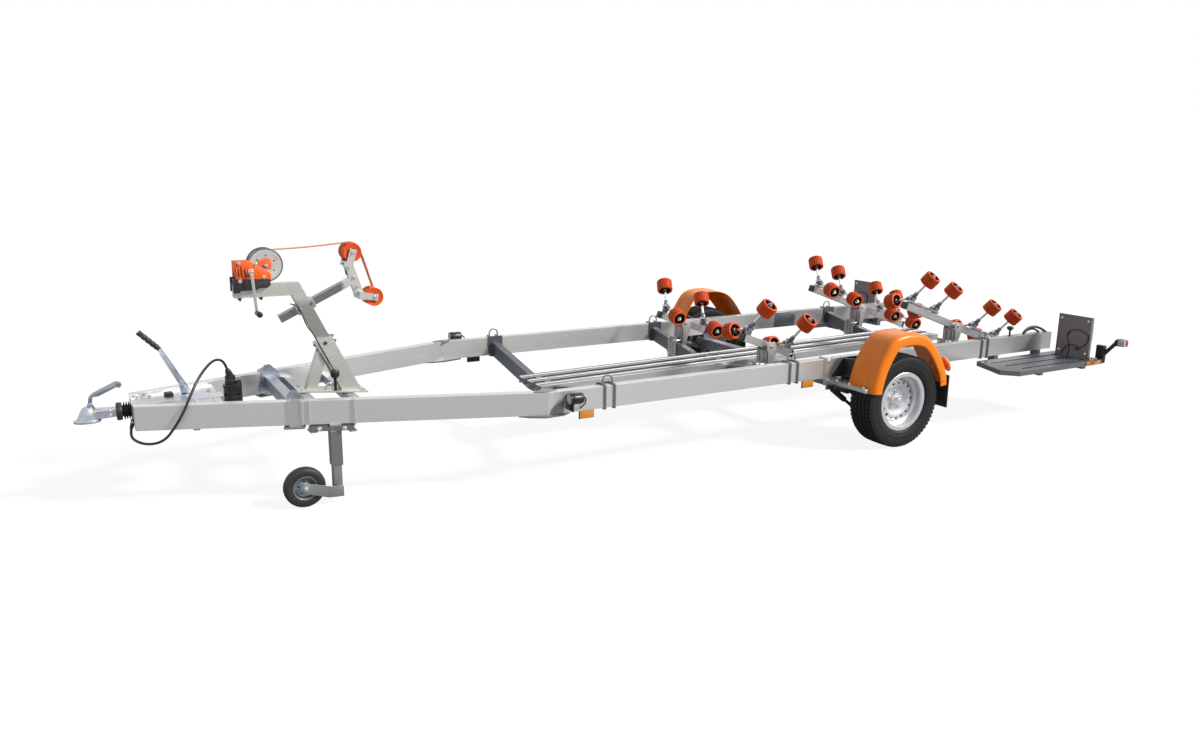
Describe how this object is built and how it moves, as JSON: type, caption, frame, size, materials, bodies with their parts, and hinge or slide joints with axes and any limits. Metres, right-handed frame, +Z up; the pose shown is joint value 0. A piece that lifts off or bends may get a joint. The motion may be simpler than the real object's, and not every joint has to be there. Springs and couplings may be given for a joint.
{
  "type": "boat trailer",
  "caption": "Single-axle boat trailer with a tapering galvanised frame, orange hull rollers on rocking beams, orange mudguards, a leaning winch post and a jockey wheel.",
  "frame": {"origin": "on the ground, midway along the length, on the trailer's centre line", "axes": "+X from the coupling towards the tail, +Y to the trailer's right-hand side, +Z up"},
  "size_m": [6.845, 2.848, 1.3823],
  "materials": {
    "galvanised": "dull hot-dip galvanised",
    "zinc_plated": "bright zinc plate",
    "wheel_steel": "silver paint",
    "tyre_rubber": "matte",
    "black_rubber": "matte",
    "black_plastic": "moulded",
    "orange_paint": "gloss orange enamel",
    "grey_paint": "matt grey",
    "orange_plastic": "gloss orange",
    "orange_roller": "smooth orange polyurethane",
    "orange_webbing": "woven",
    "lamp_plastic": "moulded lamp plastic",
    "cable_black": "smooth sheath"
  },
  "bodies": {
    "chassis": {"drawbars": "galvanised", "main_rails": "galvanised", "crossmembers": "galvanised", "clamp_fittings": "zinc_plated", "walkway": "galvanised", "overrun_housing": "galvanised", "coupling_head": "zinc_plated", "gaiter": "black_rubber", "handbrake_lever": "zinc_plated", "plug_holder": "black_plastic", "axle": "galvanised", "mudguards": "orange_plastic", "mudguard_brackets": "galvanised", "winch_post": "galvanised", "winch_frame": "orange_paint", "winch_crank": "zinc_plated", "winch_strap": "orange_webbing", "bow_arm": "galvanised", "bow_rollers": "orange_roller", "roller_posts": "galvanised", "side_platforms": "galvanised", "lamp_boards": "grey_paint", "lamps": "lamp_plastic", "jockey_bracket": "galvanised", "lead": "cable_black", "plug": "black_plastic"},
    "jockey_stem": {"jockey_leg": "zinc_plated"},
    "jockey_roller": {"jockey_wheel": "black_rubber"},
    "wheel_left": {"tyre_left": "tyre_rubber", "rim_left": "wheel_steel"},
    "wheel_right": {"tyre_right": "tyre_rubber", "rim_right": "wheel_steel"},
    "rocker_middle_left": {"rocker_middle_left": "galvanised"},
    "roller_middle_left_1_outer": {"roller_middle_left_1_outer": "orange_roller"},
    "roller_middle_left_1_inner": {"roller_middle_left_1_inner": "orange_roller"},
    "roller_middle_left_2_outer": {"roller_middle_left_2_outer": "orange_roller"},
    "roller_middle_left_2_inner": {"roller_middle_left_2_inner": "orange_roller"},
    "rocker_middle_right": {"rocker_middle_right": "galvanised"},
    "roller_middle_right_1_outer": {"roller_middle_right_1_outer": "orange_roller"},
    "roller_middle_right_1_inner": {"roller_middle_right_1_inner": "orange_roller"},
    "roller_middle_right_2_outer": {"roller_middle_right_2_outer": "orange_roller"},
    "roller_middle_right_2_inner": {"roller_middle_right_2_inner": "orange_roller"},
    "rocker_rear_left": {"rocker_rear_left": "galvanised"},
    "roller_rear_left_1_outer": {"roller_rear_left_1_outer": "orange_roller"},
    "roller_rear_left_1_inner": {"roller_rear_left_1_inner": "orange_roller"},
    "roller_rear_left_2_outer": {"roller_rear_left_2_outer": "orange_roller"},
    "roller_rear_left_2_inner": {"roller_rear_left_2_inner": "orange_roller"},
    "roller_rear_left_3_outer": {"roller_rear_left_3_outer": "orange_roller"},
    "roller_rear_left_3_inner": {"roller_rear_left_3_inner": "orange_roller"},
    "roller_rear_left_4_outer": {"roller_rear_left_4_outer": "orange_roller"},
    "roller_rear_left_4_inner": {"roller_rear_left_4_inner": "orange_roller"},
    "rocker_rear_right": {"rocker_rear_right": "galvanised"},
    "roller_rear_right_1_outer": {"roller_rear_right_1_outer": "orange_roller"},
    "roller_rear_right_1_inner": {"roller_rear_right_1_inner": "orange_roller"},
    "roller_rear_right_2_outer": {"roller_rear_right_2_outer": "orange_roller"},
    "roller_rear_right_2_inner": {"roller_rear_right_2_inner": "orange_roller"},
    "roller_rear_right_3_outer": {"roller_rear_right_3_outer": "orange_roller"},
    "roller_rear_right_3_inner": {"roller_rear_right_3_inner": "orange_roller"},
    "roller_rear_right_4_outer": {"roller_rear_right_4_outer": "orange_roller"},
    "roller_rear_right_4_inner": {"roller_rear_right_4_inner": "orange_roller"}
  },
  "joints": [
    {"name": "jockey_slide", "type": "slide", "parent": "chassis", "child": "jockey_stem", "axis": [0, 0, 1], "range_m": [-0.05, 0.11]},
    {"name": "jockey_wheel_spin", "type": "hinge", "parent": "jockey_stem", "child": "jockey_roller", "pos_m": [-2.3655, -0.478, 0.112], "axis": [0, 1, 0], "continuous": true},
    {"name": "wheel_spin_left", "type": "hinge", "parent": "chassis", "child": "wheel_left", "pos_m": [1.3775, -1.1075, 0.3145], "axis": [0, 1, 0], "continuous": true},
    {"name": "wheel_spin_right", "type": "hinge", "parent": "chassis", "child": "wheel_right", "pos_m": [1.3775, 1.1075, 0.3145], "axis": [0, 1, 0], "continuous": true},
    {"name": "rocker_middle_left_pivot", "type": "hinge", "parent": "chassis", "child": "rocker_middle_left", "pos_m": [0.7575, -0.51, 0.63], "axis": [0, 1, 0], "range_deg": [-9, 9]},
    {"name": "roller_middle_left_1_outer_spin", "type": "hinge", "parent": "rocker_middle_left", "child": "roller_middle_left_1_outer", "pos_m": [0.65548, -0.61815, 0.90326], "axis": [0.2687, -0.5878, 0.7631], "continuous": true},
    {"name": "roller_middle_left_1_inner_spin", "type": "hinge", "parent": "rocker_middle_left", "child": "roller_middle_left_1_inner", "pos_m": [0.58816, -0.33404, 0.71211], "axis": [-0.0971, 0.9563, -0.2758], "continuous": true},
    {"name": "roller_middle_left_2_outer_spin", "type": "hinge", "parent": "rocker_middle_left", "child": "roller_middle_left_2_outer", "pos_m": [1.00824, -0.61815, 0.77904], "axis": [0.2687, -0.5878, 0.7631], "continuous": true},
    {"name": "roller_middle_left_2_inner_spin", "type": "hinge", "parent": "rocker_middle_left", "child": "roller_middle_left_2_inner", "pos_m": [0.94093, -0.33404, 0.58789], "axis": [-0.0971, 0.9563, -0.2758], "continuous": true},
    {"name": "rocker_middle_right_pivot", "type": "hinge", "parent": "chassis", "child": "rocker_middle_right", "pos_m": [0.7575, 0.51, 0.63], "axis": [0, 1, 0], "range_deg": [-9, 9]},
    {"name": "roller_middle_right_1_outer_spin", "type": "hinge", "parent": "rocker_middle_right", "child": "roller_middle_right_1_outer", "pos_m": [0.65548, 0.61815, 0.90326], "axis": [0.2687, 0.5878, 0.7631], "continuous": true},
    {"name": "roller_middle_right_1_inner_spin", "type": "hinge", "parent": "rocker_middle_right", "child": "roller_middle_right_1_inner", "pos_m": [0.58816, 0.33404, 0.71211], "axis": [-0.0971, -0.9563, -0.2758], "continuous": true},
    {"name": "roller_middle_right_2_outer_spin", "type": "hinge", "parent": "rocker_middle_right", "child": "roller_middle_right_2_outer", "pos_m": [1.00824, 0.61815, 0.77904], "axis": [0.2687, 0.5878, 0.7631], "continuous": true},
    {"name": "roller_middle_right_2_inner_spin", "type": "hinge", "parent": "rocker_middle_right", "child": "roller_middle_right_2_inner", "pos_m": [0.94093, 0.33404, 0.58789], "axis": [-0.0971, -0.9563, -0.2758], "continuous": true},
    {"name": "rocker_rear_left_pivot", "type": "hinge", "parent": "chassis", "child": "rocker_rear_left", "pos_m": [2.5975, -0.51, 0.63], "axis": [0, 1, 0], "range_deg": [-9, 9]},
    {"name": "roller_rear_left_1_outer_spin", "type": "hinge", "parent": "rocker_rear_left", "child": "roller_rear_left_1_outer", "pos_m": [2.18233, -0.61815, 1.01354], "axis": [0.2687, -0.5878, 0.7631], "continuous": true},
    {"name": "roller_rear_left_1_inner_spin", "type": "hinge", "parent": "rocker_rear_left", "child": "roller_rear_left_1_inner", "pos_m": [2.11501, -0.33404, 0.82239], "axis": [-0.0971, 0.9563, -0.2758], "continuous": true},
    {"name": "roller_rear_left_2_outer_spin", "type": "hinge", "parent": "rocker_rear_left", "child": "roller_rear_left_2_outer", "pos_m": [2.4436, -0.61815, 0.92153], "axis": [0.2687, -0.5878, 0.7631], "continuous": true},
    {"name": "roller_rear_left_2_inner_spin", "type": "hinge", "parent": "rocker_rear_left", "child": "roller_rear_left_2_inner", "pos_m": [2.37628, -0.33404, 0.73038], "axis": [-0.0971, 0.9563, -0.2758], "continuous": true},
    {"name": "roller_rear_left_3_outer_spin", "type": "hinge", "parent": "rocker_rear_left", "child": "roller_rear_left_3_outer", "pos_m": [2.90012, -0.61815, 0.76077], "axis": [0.2687, -0.5878, 0.7631], "continuous": true},
    {"name": "roller_rear_left_3_inner_spin", "type": "hinge", "parent": "rocker_rear_left", "child": "roller_rear_left_3_inner", "pos_m": [2.8328, -0.33404, 0.56962], "axis": [-0.0971, 0.9563, -0.2758], "continuous": true},
    {"name": "roller_rear_left_4_outer_spin", "type": "hinge", "parent": "rocker_rear_left", "child": "roller_rear_left_4_outer", "pos_m": [3.16139, -0.61815, 0.66876], "axis": [0.2687, -0.5878, 0.7631], "continuous": true},
    {"name": "roller_rear_left_4_inner_spin", "type": "hinge", "parent": "rocker_rear_left", "child": "roller_rear_left_4_inner", "pos_m": [3.09408, -0.33404, 0.47761], "axis": [-0.0971, 0.9563, -0.2758], "continuous": true},
    {"name": "rocker_rear_right_pivot", "type": "hinge", "parent": "chassis", "child": "rocker_rear_right", "pos_m": [2.5975, 0.51, 0.63], "axis": [0, 1, 0], "range_deg": [-9, 9]},
    {"name": "roller_rear_right_1_outer_spin", "type": "hinge", "parent": "rocker_rear_right", "child": "roller_rear_right_1_outer", "pos_m": [2.18233, 0.61815, 1.01354], "axis": [0.2687, 0.5878, 0.7631], "continuous": true},
    {"name": "roller_rear_right_1_inner_spin", "type": "hinge", "parent": "rocker_rear_right", "child": "roller_rear_right_1_inner", "pos_m": [2.11501, 0.33404, 0.82239], "axis": [-0.0971, -0.9563, -0.2758], "continuous": true},
    {"name": "roller_rear_right_2_outer_spin", "type": "hinge", "parent": "rocker_rear_right", "child": "roller_rear_right_2_outer", "pos_m": [2.4436, 0.61815, 0.92153], "axis": [0.2687, 0.5878, 0.7631], "continuous": true},
    {"name": "roller_rear_right_2_inner_spin", "type": "hinge", "parent": "rocker_rear_right", "child": "roller_rear_right_2_inner", "pos_m": [2.37628, 0.33404, 0.73038], "axis": [-0.0971, -0.9563, -0.2758], "continuous": true},
    {"name": "roller_rear_right_3_outer_spin", "type": "hinge", "parent": "rocker_rear_right", "child": "roller_rear_right_3_outer", "pos_m": [2.90012, 0.61815, 0.76077], "axis": [0.2687, 0.5878, 0.7631], "continuous": true},
    {"name": "roller_rear_right_3_inner_spin", "type": "hinge", "parent": "rocker_rear_right", "child": "roller_rear_right_3_inner", "pos_m": [2.8328, 0.33404, 0.56962], "axis": [-0.0971, -0.9563, -0.2758], "continuous": true},
    {"name": "roller_rear_right_4_outer_spin", "type": "hinge", "parent": "rocker_rear_right", "child": "roller_rear_right_4_outer", "pos_m": [3.16139, 0.61815, 0.66876], "axis": [0.2687, 0.5878, 0.7631], "continuous": true},
    {"name": "roller_rear_right_4_inner_spin", "type": "hinge", "parent": "rocker_rear_right", "child": "roller_rear_right_4_inner", "pos_m": [3.09408, 0.33404, 0.47761], "axis": [-0.0971, -0.9563, -0.2758], "continuous": true}
  ]
}
